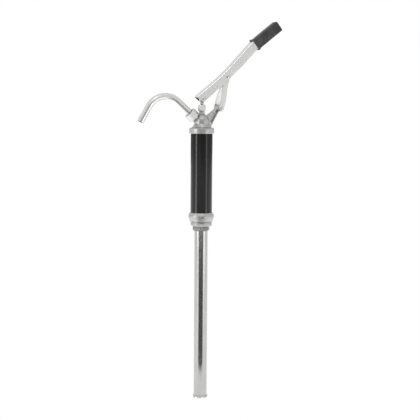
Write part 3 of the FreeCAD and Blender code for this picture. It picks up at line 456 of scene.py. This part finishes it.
@dataclass
class Studio:
    """White floor, card and room, a dark flag in front, three soft boxes and the camera."""

    azimuth: float = -21.1
    distance: float = 3.24
    height: float = 0.33
    target: tuple[float, float, float] = (0.0226, -0.0088, 0.0309)
    lens: float = 100.8
    roll: float = 0.40
    card_drop: float = 0.004
    tube_travel: float = 0.76
    reach: float = 12.0
    flag_angle: float = 37.0
    flag_start: float = 0.46
    flag_end: float = 6.0
    flag_top: float = 0.42
    room: float = 0.82
    gloom: float = 0.22

    def build(self) -> None:
        """Set the stage."""
        self.lay_floor()
        self.set_flag()
        self.light()
        self.aim_camera()
        bpy.context.scene.view_settings.view_transform = "Standard"

    def card_height(self) -> float:
        """Height of the card under the foot of the suction tube."""
        low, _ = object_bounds()
        return low.z - self.card_drop

    def lay_sheet(self, name: str, z: float) -> bpy.types.Object:
        """A wide level sheet of the stage.

        Args:
            name: The sheet's name.
            z: Its height.

        Returns:
            The sheet, without a material.
        """
        mesh = bpy.data.meshes.new(name)
        corners = [(x * self.reach, y * self.reach, z) for x, y in ((-1, -1), (1, -1), (1, 1), (-1, 1))]
        mesh.from_pydata(corners, [], [(0, 1, 2, 3)])
        sheet = bpy.data.objects.new(name, mesh)
        bpy.context.collection.objects.link(sheet)
        sheet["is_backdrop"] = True
        return sheet

    def lay_floor(self) -> None:
        """A white card under the pump's foot, and a floor that the drawn-out tubes don't reach."""
        ground = self.lay_sheet("floor", self.card_height() - self.tube_travel)
        book = NodeBook("floor_white")
        book.constant("Base Color", rgb(0.0, 0.0, 0.0))
        book.constant("Roughness", 1.0)
        book.constant("Specular IOR Level", 0.0)
        book.constant("Emission Color", rgb(1.0, 1.0, 1.0))
        book.constant("Emission Strength", 1.0)
        ground.data.materials.append(book.material)
        card = self.lay_sheet("white_card", self.card_height())
        card.visible_camera = False
        card.visible_shadow = False
        book = NodeBook("card_white")
        veil = book.spread(book.noise(0.8, 2.0), 0.88, 0.92)
        shade = book.tree.nodes.new("ShaderNodeCombineColor")
        for channel in ("Red", "Green", "Blue"):
            book.tree.links.new(veil, shade.inputs[channel])
        book.join(shade.outputs["Color"], "Base Color")
        book.constant("Roughness", 0.9)
        book.constant("Specular IOR Level", 0.1)
        book.constant("Emission Color", rgb(1.0, 1.0, 1.0))
        book.constant("Emission Strength", 0.45)
        card.data.materials.append(book.material)

    def set_flag(self) -> None:
        """A dark flag on the card towards the camera, seen only in reflections."""
        z = self.card_height() + 0.002
        corners = []
        for radius, sweep in ((self.flag_start, (-1, 1)), (self.flag_end, (1, -1))):
            for side in sweep:
                angle = math.radians(self.azimuth + side * self.flag_angle)
                corners.append((radius * math.sin(angle), -radius * math.cos(angle), z))
        mesh = bpy.data.meshes.new("dark_flag")
        mesh.from_pydata(corners, [], [(0, 1, 2, 3)])
        flag = bpy.data.objects.new("dark_flag", mesh)
        bpy.context.collection.objects.link(flag)
        flag.visible_camera = False
        flag.visible_diffuse = False
        flag.visible_shadow = False
        book = NodeBook("flag_black")
        book.constant("Base Color", rgb(0.14, 0.14, 0.14))
        book.constant("Roughness", 0.95)
        book.constant("Specular IOR Level", 0.0)
        mesh.materials.append(book.material)
        flag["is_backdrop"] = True

    def light(self) -> None:
        """The room, two upright soft boxes at the sides and one above."""
        self.shade_room()
        self.add_box("left_box", -58.0, 9.5, (0.34, 1.7), (2.2, 0.55))
        self.add_box("right_box", 54.0, 1.9, (0.30, 0.8), (2.2, -0.08))
        self.add_box("top_box", 0.0, 4.0, (0.7, 0.7), (1.3, 1.9), 46.0)

    def shade_room(self) -> None:
        """A white room, darker behind the camera and black below the horizon."""
        world = bpy.data.worlds.new("white_room")
        bpy.context.scene.world = world
        world.use_nodes = True
        tree = world.node_tree
        tree.nodes.clear()
        output = tree.nodes.new("ShaderNodeOutputWorld")
        coordinates = tree.nodes.new("ShaderNodeTexCoord")
        flat = tree.nodes.new("ShaderNodeVectorMath")
        flat.operation = "MULTIPLY"
        flat.inputs[1].default_value = (1.0, 1.0, 0.0)
        tree.links.new(coordinates.outputs["Generated"], flat.inputs[0])
        level = tree.nodes.new("ShaderNodeVectorMath")
        level.operation = "NORMALIZE"
        tree.links.new(flat.outputs["Vector"], level.inputs[0])
        facing = tree.nodes.new("ShaderNodeVectorMath")
        facing.operation = "DOT_PRODUCT"
        angle = math.radians(self.azimuth)
        facing.inputs[1].default_value = (math.sin(angle), -math.cos(angle), 0.0)
        tree.links.new(level.outputs["Vector"], facing.inputs[0])
        edge = math.cos(math.radians(self.flag_angle))
        ahead = self.step(tree, facing.outputs["Value"], edge - 0.09, edge + 0.07)
        parts = tree.nodes.new("ShaderNodeSeparateXYZ")
        tree.links.new(coordinates.outputs["Generated"], parts.inputs["Vector"])
        low = self.step(tree, parts.outputs["Z"], self.flag_top + 0.18, self.flag_top - 0.12)
        dark = tree.nodes.new("ShaderNodeMath")
        dark.operation = "MULTIPLY"
        tree.links.new(ahead, dark.inputs[0])
        tree.links.new(low, dark.inputs[1])
        shade = tree.nodes.new("ShaderNodeMapRange")
        shade.inputs["To Min"].default_value = self.room
        shade.inputs["To Max"].default_value = self.gloom
        tree.links.new(dark.outputs[0], shade.inputs["Value"])
        above = tree.nodes.new("ShaderNodeMath")
        above.operation = "MULTIPLY"
        tree.links.new(shade.outputs["Result"], above.inputs[0])
        tree.links.new(self.step(tree, parts.outputs["Z"], -0.04, 0.0), above.inputs[1])
        room = tree.nodes.new("ShaderNodeBackground")
        tree.links.new(above.outputs[0], room.inputs["Strength"])
        seen = tree.nodes.new("ShaderNodeBackground")
        seen.inputs["Strength"].default_value = 1.0
        for node in (room, seen):
            node.inputs["Color"].default_value = rgb(1.0, 1.0, 1.0)
        path = tree.nodes.new("ShaderNodeLightPath")
        mix = tree.nodes.new("ShaderNodeMixShader")
        tree.links.new(path.outputs["Is Camera Ray"], mix.inputs[0])
        tree.links.new(room.outputs[0], mix.inputs[1])
        tree.links.new(seen.outputs[0], mix.inputs[2])
        tree.links.new(mix.outputs[0], output.inputs["Surface"])

    @staticmethod
    def step(tree: bpy.types.NodeTree, source: bpy.types.NodeSocket, start: float,
             end: float) -> bpy.types.NodeSocket:
        """A smooth step from 0 at start to 1 at end."""
        node = tree.nodes.new("ShaderNodeMapRange")
        node.interpolation_type = "SMOOTHSTEP"
        node.inputs["From Min"].default_value = start
        node.inputs["From Max"].default_value = end
        tree.links.new(source, node.inputs["Value"])
        return node.outputs["Result"]

    def add_box(self, name: str, turn: float, power: float, face: tuple[float, float],
                place: tuple[float, float], tilt: float = 0.0) -> None:
        """A soft box that faces the pump.

        Args:
            name: The light's name.
            turn: Angle in degrees from the camera's azimuth, towards +X.
            power: Watts.
            face: Width and height of its face in metres.
            place: Distance from the pump axis and height of its centre in metres.
            tilt: Angle in degrees by which it looks down.
        """
        light = bpy.data.lights.new(name, "AREA")
        light.shape = "RECTANGLE"
        light.size, light.size_y = face
        light.energy = power
        lamp = bpy.data.objects.new(name, light)
        angle = math.radians(self.azimuth + turn)
        away, height = place
        lamp.location = (away * math.sin(angle), -away * math.cos(angle), height)
        aim = Vector((-lamp.location.x, -lamp.location.y, -away * math.tan(math.radians(tilt))))
        lamp.rotation_euler = aim.to_track_quat("-Z", "Y").to_euler()
        bpy.context.collection.objects.link(lamp)

    def aim_camera(self) -> None:
        """Place the camera and look at the target."""
        data = bpy.data.cameras.new("camera")
        data.lens = self.lens
        data.sensor_width = 36.0
        data.clip_end = 60.0
        camera = bpy.data.objects.new("camera", data)
        angle = math.radians(self.azimuth)
        camera.location = (self.distance * math.sin(angle), -self.distance * math.cos(angle), self.height)
        aim = Vector(self.target) - camera.location
        turned = aim.to_track_quat("-Z", "Y").to_matrix() @ Matrix.Rotation(math.radians(self.roll), 3, "Z")
        camera.rotation_euler = turned.to_euler()
        bpy.context.collection.objects.link(camera)
        bpy.context.scene.camera = camera


def new_piece(name: str, mesh: bpy.types.Mesh, material: bpy.types.Material, body: str,
              stands_for: Sequence[str] = ()) -> bpy.types.Object:
    """Link a finished mesh as a piece that rides on a body.

    Args:
        name: The piece's name.
        mesh: Its mesh, in the parts' frame.
        material: Its finish.
        body: The body it rides on.
        stands_for: Nodes it is shown in place of.

    Returns:
        The new object.
    """
    mesh.materials.clear()
    mesh.materials.append(material)
    piece = bpy.data.objects.new(name, mesh)
    bpy.context.collection.objects.link(piece)
    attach(piece, body)
    if stands_for:
        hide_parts(*stands_for)
    LOG.info("made %s with %d faces on %s", name, len(mesh.polygons), body)
    return piece


def crease(mesh: bpy.types.Mesh, angle: float = 32.0) -> None:
    """Shade a mesh smooth, with sharp edges where faces meet at more than an angle in degrees."""
    work = bmesh.new()
    work.from_mesh(mesh)
    limit = math.radians(angle)
    for face in work.faces:
        face.smooth = True
    for edge in work.edges:
        edge.smooth = len(edge.link_faces) == 2 and edge.calc_face_angle(0.0) < limit
    work.to_mesh(mesh)
    work.free()


def lathe(name: str, profile: Sequence[tuple[float, float]], segments: int = 160) -> bpy.types.Mesh:
    """Turn a closed profile of radius and height about the pump axis.

    Args:
        name: The mesh's name.
        profile: Corners in order round the section, none on the axis.
        segments: Steps round the axis.

    Returns:
        A closed mesh with outward faces.
    """
    work = bmesh.new()
    rings = []
    for step in range(segments):
        angle = 2.0 * math.pi * step / segments
        rings.append([work.verts.new((radius * math.cos(angle), radius * math.sin(angle), z))
                      for radius, z in profile])
    count = len(profile)
    for step in range(segments):
        here, there = rings[step], rings[(step + 1) % segments]
        for corner in range(count):
            after = (corner + 1) % count
            work.faces.new((here[corner], there[corner], there[after], here[after]))
    bmesh.ops.recalc_face_normals(work, faces=work.faces)
    mesh = bpy.data.meshes.new(name)
    work.to_mesh(mesh)
    work.free()
    return mesh


def rounded(profile: Sequence[tuple[float, float, float]], steps: int = 5) -> list[tuple[float, float]]:
    """Round the corners of a closed profile.

    Args:
        profile: Corners as radius, height and rounding reach.
        steps: Points on each rounded corner.

    Returns:
        Points of the rounded profile.
    """
    points: list[tuple[float, float]] = []
    count = len(profile)
    for index, (x, y, reach) in enumerate(profile):
        corner = Vector((x, y))
        if reach <= 0.0:
            points.append((x, y))
            continue
        before = Vector(profile[index - 1][:2]) - corner
        after = Vector(profile[(index + 1) % count][:2]) - corner
        start = corner + before.normalized() * min(reach, before.length * 0.49)
        end = corner + after.normalized() * min(reach, after.length * 0.49)
        for step in range(steps + 1):
            t = step / steps
            point = start.lerp(corner, t).lerp(corner.lerp(end, t), t)
            points.append((point.x, point.y))
    return points


def joined(name: str, meshes: Iterable[bpy.types.Mesh]) -> bpy.types.Mesh:
    """Join several meshes into one."""
    work = bmesh.new()
    for mesh in meshes:
        work.from_mesh(mesh)
    mesh = bpy.data.meshes.new(name)
    work.to_mesh(mesh)
    work.free()
    return mesh


def baked(holder: bpy.types.Object, name: str) -> bpy.types.Mesh:
    """Evaluate an object's modifiers into a plain mesh and remove the object.

    Args:
        holder: Object with modifiers.
        name: The new mesh's name.

    Returns:
        The plain mesh.
    """
    bpy.context.view_layer.update()
    graph = bpy.context.evaluated_depsgraph_get()
    mesh = bpy.data.meshes.new_from_object(holder.evaluated_get(graph))
    mesh.name = name
    holder.modifiers.clear()
    bpy.data.objects.remove(holder)
    return mesh


class HelixTree:
    """Geometry nodes for a screw thread: a ridge swept along a helix about +Z."""

    SOCKETS = (("Radius", 0.0286), ("Pitch", 0.0023), ("Turns", 5.0), ("Ridge", 0.0012), ("Start", 0.0))

    def __init__(self, material: bpy.types.Material) -> None:
        """Build the tree.

        Args:
            material: Finish of the thread.
        """
        self.tree = bpy.data.node_groups.new("screw_thread", "GeometryNodeTree")
        face = self.tree.interface
        self.ids = {}
        for name, default in self.SOCKETS:
            socket = face.new_socket(name=name, in_out="INPUT", socket_type="NodeSocketFloat")
            socket.default_value = default
            self.ids[name] = socket.identifier
        face.new_socket(name="Geometry", in_out="OUTPUT", socket_type="NodeSocketGeometry")
        given = self.tree.nodes.new("NodeGroupInput").outputs
        length = self.maths("MULTIPLY", given["Pitch"], given["Turns"])
        helix = self.tree.nodes.new("GeometryNodeCurveSpiral")
        helix.inputs["Resolution"].default_value = 96
        self.tree.links.new(given["Turns"], helix.inputs["Rotations"])
        self.tree.links.new(given["Radius"], helix.inputs["Start Radius"])
        self.tree.links.new(given["Radius"], helix.inputs["End Radius"])
        self.tree.links.new(length, helix.inputs["Height"])
        lift = self.tree.nodes.new("ShaderNodeCombineXYZ")
        self.tree.links.new(given["Start"], lift.inputs["Z"])
        moved = self.tree.nodes.new("GeometryNodeTransform")
        self.tree.links.new(helix.outputs["Curve"], moved.inputs["Geometry"])
        self.tree.links.new(lift.outputs["Vector"], moved.inputs["Translation"])
        ridge = self.tree.nodes.new("GeometryNodeCurvePrimitiveCircle")
        ridge.inputs["Resolution"].default_value = 6
        self.tree.links.new(given["Ridge"], ridge.inputs["Radius"])
        swept = self.tree.nodes.new("GeometryNodeCurveToMesh")
        swept.inputs["Fill Caps"].default_value = True
        self.tree.links.new(moved.outputs["Geometry"], swept.inputs["Curve"])
        self.tree.links.new(ridge.outputs["Curve"], swept.inputs["Profile Curve"])
        realize = self.tree.nodes.new("GeometryNodeRealizeInstances")
        self.tree.links.new(swept.outputs["Mesh"], realize.inputs["Geometry"])
        paint = self.tree.nodes.new("GeometryNodeSetMaterial")
        paint.inputs["Material"].default_value = material
        self.tree.links.new(realize.outputs["Geometry"], paint.inputs["Geometry"])
        result = self.tree.nodes.new("NodeGroupOutput")
        self.tree.links.new(paint.outputs["Geometry"], result.inputs["Geometry"])

    def maths(self, operation: str, first: bpy.types.NodeSocket,
              second: bpy.types.NodeSocket) -> bpy.types.NodeSocket:
        """Join two values by an operation."""
        node = self.tree.nodes.new("ShaderNodeMath")
        node.operation = operation
        self.tree.links.new(first, node.inputs[0])
        self.tree.links.new(second, node.inputs[1])
        return node.outputs[0]

    def make(self, name: str, sizes: dict[str, float]) -> bpy.types.Mesh:
        """Sweep one thread.

        Args:
            name: The mesh's name.
            sizes: Values of the tree's inputs by name.

        Returns:
            A plain mesh with outward faces.
        """
        holder = bpy.data.objects.new(name, bpy.data.meshes.new(name))
        bpy.context.collection.objects.link(holder)
        modifier = holder.modifiers.new("thread", "NODES")
        modifier.node_group = self.tree
        for key, amount in sizes.items():
            modifier[self.ids[key]] = amount
        mesh = baked(holder, name)
        work = bmesh.new()
        work.from_mesh(mesh)
        bmesh.ops.recalc_face_normals(work, faces=work.faces)
        work.to_mesh(mesh)
        work.free()
        return mesh


@dataclass
class BungCollar:
    """Cast collar with its bulge, screw pad and rolled bung thread."""

    finishes: "Finishes"
    bulge_radius: float = 36.2 * MM
    bulge_height: float = 13.8 * MM
    lip_radius: float = 31.3 * MM
    flange_radius: float = 31.4 * MM
    thread_radius: float = 29.8 * MM
    thread_length: float = 13.0 * MM
    ridge: float = 0.95 * MM
    pitch: float = 2.309 * MM
    turns: float = 4.6
    spigot_radius: float = 20.6 * MM
    socket_radius: float = 30.06 * MM
    socket_floor: float = 5.0 * MM
    bore_radius: float = 15.5 * MM
    bore_flare: float = 1.9 * MM
    throat_z: float = -6.0 * MM
    relief_top: float = -1.1 * MM
    lathe_steps: int = 192
    pad_hole: float = 2.55 * MM
    pad_radius: float = 5.1 * MM
    pad_foot: float = 5.6 * MM
    pad_depth: float = 6.0 * MM
    pad_proud: float = 0.05 * MM

    def build(self) -> bpy.types.Object:
        """Make the collar in place of its plain node."""
        low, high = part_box("base_collar")
        root = self.thread_radius - 1.5 * self.ridge
        profile = rounded([
            (self.socket_radius, high.z, 0.0),
            (self.socket_radius, self.socket_floor, 0.0),
            (self.bore_radius + self.bore_flare, self.socket_floor, 0.0),
            (self.bore_radius, self.throat_z, 0.0),
            (self.bore_radius, low.z, 0.0),
            (self.spigot_radius, low.z, 0.4 * MM),
            (self.spigot_radius, -self.thread_length, 0.3 * MM),
            (root - 0.8 * MM, -self.thread_length, 0.8 * MM),
            (root, -self.thread_length + 1.3 * MM, 0.5 * MM),
            (root, -1.6 * MM, 0.3 * MM),
            (root - 0.5 * MM, self.relief_top, 0.2 * MM),
            (root - 0.5 * MM, 0.0, 0.4 * MM),
            (self.flange_radius, 0.0, 0.9 * MM),
            (self.bulge_radius, self.bulge_height, 3.6 * MM),
            (self.lip_radius + 0.9 * MM, high.z - 0.9 * MM, 1.5 * MM),
            (self.lip_radius, high.z, 0.6 * MM),
        ])
        turned = lathe("collar_body", profile, self.lathe_steps)
        thread = HelixTree(self.finishes["cast_metal"]).make("bung_thread", {
            "Radius": self.thread_radius - self.ridge, "Pitch": self.pitch, "Turns": self.turns,
            "Ridge": self.ridge, "Start": -self.thread_length + 1.2 * MM,
        })
        pad = self.screw_pad()
        mesh = joined("bung_collar", (turned, thread, pad))
        crease(mesh, 38.0)
        return new_piece("bung_collar", mesh, self.finishes["cast_metal"], "pump",
                         ["base_collar"])

    def screw_pad(self) -> bpy.types.Mesh:
        """A raised ring round the set screw."""
        low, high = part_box("set_screw")
        centre = (low + high) / 2
        face = low.y - self.pad_proud
        back = face + self.pad_depth
        profile = rounded([
            (self.pad_hole, back, 0.0), (self.pad_foot, back, 0.0),
            (self.pad_radius, face, 0.7 * MM), (self.pad_hole, face, 0.3 * MM),
        ], 3)
        mesh = lathe("screw_pad", profile, 48)
        upright = Matrix.Rotation(math.radians(-90), 4, "X")
        mesh.transform(Matrix.Translation((centre.x, 0.0, centre.z)) @ upright)
        return mesh


@dataclass
class HeadCasting:
    """Cast head with blended junctions, made by fusing and softening its plain node."""

    finishes: "Finishes"
    grain: float = 0.85 * MM
    passes: int = 9
    neck_radius: float = 7.95 * MM
    neck_ridge: float = 0.55 * MM
    neck_pitch: float = 1.5 * MM
    neck_thread_z: float = 296.6 * MM
    neck_turns: float = 5.0

    def build(self) -> bpy.types.Object:
        """Make the casting in place of its plain node."""
        mesh = frame["nodes"]["head_casting"].data.copy()
        work = bmesh.new()
        work.from_mesh(mesh)
        bmesh.ops.remove_doubles(work, verts=work.verts, dist=1e-6)
        work.to_mesh(mesh)
        work.free()
        holder = bpy.data.objects.new("head_holder", mesh)
        bpy.context.collection.objects.link(holder)
        fuse = holder.modifiers.new("fuse", "REMESH")
        fuse.mode = "VOXEL"
        fuse.voxel_size = self.grain
        soften = holder.modifiers.new("soften", "SMOOTH")
        soften.factor = 0.5
        soften.iterations = self.passes
        skin = baked(holder, "head_skin")
        thread = HelixTree(self.finishes["cast_metal"]).make("neck_thread", {
            "Radius": self.neck_radius - self.neck_ridge, "Pitch": self.neck_pitch, "Turns": self.neck_turns,
            "Ridge": self.neck_ridge, "Start": self.neck_thread_z,
        })
        mesh = joined("head_casting_skin", (skin, thread))
        crease(mesh, 60.0)
        return new_piece("cast_head", mesh, self.finishes["cast_metal"], "pump",
                         ["head_casting"])


@dataclass
class SoftEdges:
    """Copies of sheet and turned nodes with their sharp edges rounded."""

    finishes: "Finishes"
    width: float = 0.3 * MM
    segments: int = 2

    def build(self, node: str, body: str, slot: str, width: float | None = None) -> bpy.types.Object:
        """Make a soft-edged copy of a node.

        Args:
            node: The node.
            body: The body it belongs to.
            slot: Its material slot.
            width: Width of the rounding, or the class's own.

        Returns:
            The new piece.
        """
        mesh = frame["nodes"][node].data.copy()
        if mesh.has_custom_normals:
            mesh.attributes.remove(mesh.attributes["custom_normal"])
        work = bmesh.new()
        work.from_mesh(mesh)
        bmesh.ops.remove_doubles(work, verts=work.verts, dist=2e-6)
        bmesh.ops.dissolve_limit(work, angle_limit=math.radians(0.6), verts=work.verts, edges=work.edges)
        work.to_mesh(mesh)
        work.free()
        holder = bpy.data.objects.new(f"{node}_holder", mesh)
        bpy.context.collection.objects.link(holder)
        bevel = holder.modifiers.new("round", "BEVEL")
        bevel.width = self.width if width is None else width
        bevel.segments = self.segments
        bevel.limit_method = "ANGLE"
        bevel.angle_limit = math.radians(28.0)
        bevel.use_clamp_overlap = True
        bevel.harden_normals = False
        mesh = baked(holder, f"{node}_rounded")
        crease(mesh, 40.0)
        holder = bpy.data.objects.new(f"{node}_holder", mesh)
        bpy.context.collection.objects.link(holder)
        flatten = holder.modifiers.new("flatten", "WEIGHTED_NORMAL")
        flatten.keep_sharp = True
        flatten.weight = 80
        mesh = baked(holder, f"{node}_soft")
        return new_piece(f"{node}_soft", mesh, self.finishes[slot], body, [node])


@dataclass
class HandGrip:
    """Moulded sleeve lofted along the lever's end: lip, waist, swell and rounded end."""

    finishes: "Finishes"
    tilt: float = 37.98
    corners: int = 10
    stations: tuple[tuple[float, float, float, float], ...] = field(default=(
        # distance along, half width, half height, corner radius, all in millimetres
        (0.0, 15.6, 15.6, 4.6), (0.0, 16.6, 16.6, 5.4), (0.8, 17.2, 17.2, 5.8), (3.4, 17.2, 17.2, 5.8),
        (4.4, 16.4, 16.4, 5.6), (5.0, 15.0, 15.0, 4.4), (8.0, 14.8, 14.8, 4.2), (42.0, 14.95, 14.95, 4.2),
        (74.0, 14.95, 14.95, 4.2), (87.0, 14.9, 14.9, 4.2), (88.6, 14.5, 14.5, 4.0), (89.2, 13.9, 13.9, 3.8),
        (89.45, 12.6, 12.6, 3.4),
    ))

    def section(self, half_width: float, half_height: float, radius: float) -> list[Vector]:
        """Points round a rounded rectangle in the YZ plane."""
        points = []
        for quarter, (side, up) in enumerate(((1, 1), (-1, 1), (-1, -1), (1, -1))):
            centre = Vector((0.0, side * (half_width - radius), up * (half_height - radius)))
            for step in range(self.corners + 1):
                angle = math.radians(90.0 * quarter + 90.0 * step / self.corners)
                points.append(centre + radius * Vector((0.0, math.cos(angle), math.sin(angle))))
        return points

    def build(self) -> bpy.types.Object:
        """Make the grip in place of its plain node."""
        low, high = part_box("hand_grip")
        work = bmesh.new()
        rings = []
        for along, half_width, half_height, radius in self.stations:
            ring = []
            for point in self.section(half_width * MM, half_height * MM, radius * MM):
                ring.append(work.verts.new(point + Vector((along * MM, 0.0, 0.0))))
            rings.append(ring)
        for here, there in zip(rings, rings[1:]):
            count = len(here)
            for index in range(count):
                after = (index + 1) % count
                work.faces.new((here[index], there[index], there[after], here[after]))
        work.faces.new(rings[0])
        work.faces.new(list(reversed(rings[-1])))
        bmesh.ops.recalc_face_normals(work, faces=work.faces)
        mesh = bpy.data.meshes.new("grip")
        work.to_mesh(mesh)
        work.free()
        turn = Matrix.Rotation(math.radians(-self.tilt), 4, "Y")
        mesh.transform(turn)
        box_low = Vector((min(v.co.x for v in mesh.vertices), 0.0, min(v.co.z for v in mesh.vertices)))
        box_high = Vector((max(v.co.x for v in mesh.vertices), 0.0, max(v.co.z for v in mesh.vertices)))
        shift = (low + high) / 2 - (box_low + box_high) / 2
        mesh.transform(Matrix.Translation((shift.x, 0.0, shift.z)))
        crease(mesh, 50.0)
        return new_piece("moulded_grip", mesh, self.finishes["grip_rubber"], "lever_arm",
                         ["hand_grip"])


class Pump:
    """The whole pump: dresses the carried-over nodes and adds the made pieces."""

    SOFTENED = {
        "lever": 0.25 * MM, "front_link_plate": 0.35 * MM, "rear_link_plate": 0.35 * MM,
        "packing_nut": 0.3 * MM, "spout_nut": 0.4 * MM, "suction_tube_nut": 0.4 * MM,
    }

    def __init__(self, finishes: Finishes) -> None:
        """Keep the finishes and the record's slots.

        Args:
            finishes: Every finish.
        """
        self.finishes = finishes
        # The spout takes the lighter copy of the tube metal, painted light for its brighter look.
        self.own_finish = {"spout_tube": "spout_finish"}
        self.slots = {item["node"]: item["material_slot"] for item in frame["record"]["subparts"]}

    def make_pieces(self) -> None:
        """Make every piece that is shown in place of its node."""
        BungCollar(self.finishes).build()
        HeadCasting(self.finishes).build()
        HandGrip(self.finishes).build()
        soft = SoftEdges(self.finishes)
        bodies = {node: body for body, nodes in frame["record"]["behaviour"]["bodies"].items()
                  for node in nodes}
        for node, width in self.SOFTENED.items():
            soft.build(node, bodies[node], self.slots[node], width)

    def dress_nodes(self) -> None:
        """Give every carried-over node its finish."""
        for name, node in frame["nodes"].items():
            if node.hide_render:
                continue
            material = self.finishes[self.own_finish.get(name, self.slots[name])]
            node.data.materials.clear()
            node.data.materials.append(material)
            LOG.info("dressed %s in %s", name, material.name)


def main() -> None:
    """Build the stage and the pump."""
    logging.basicConfig(level=logging.INFO, format="%(name)s: %(message)s")
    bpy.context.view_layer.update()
    Studio().build()
    pump = Pump(Finishes())
    pump.make_pieces()
    pump.dress_nodes()


if __name__ == "__main__":
    main()
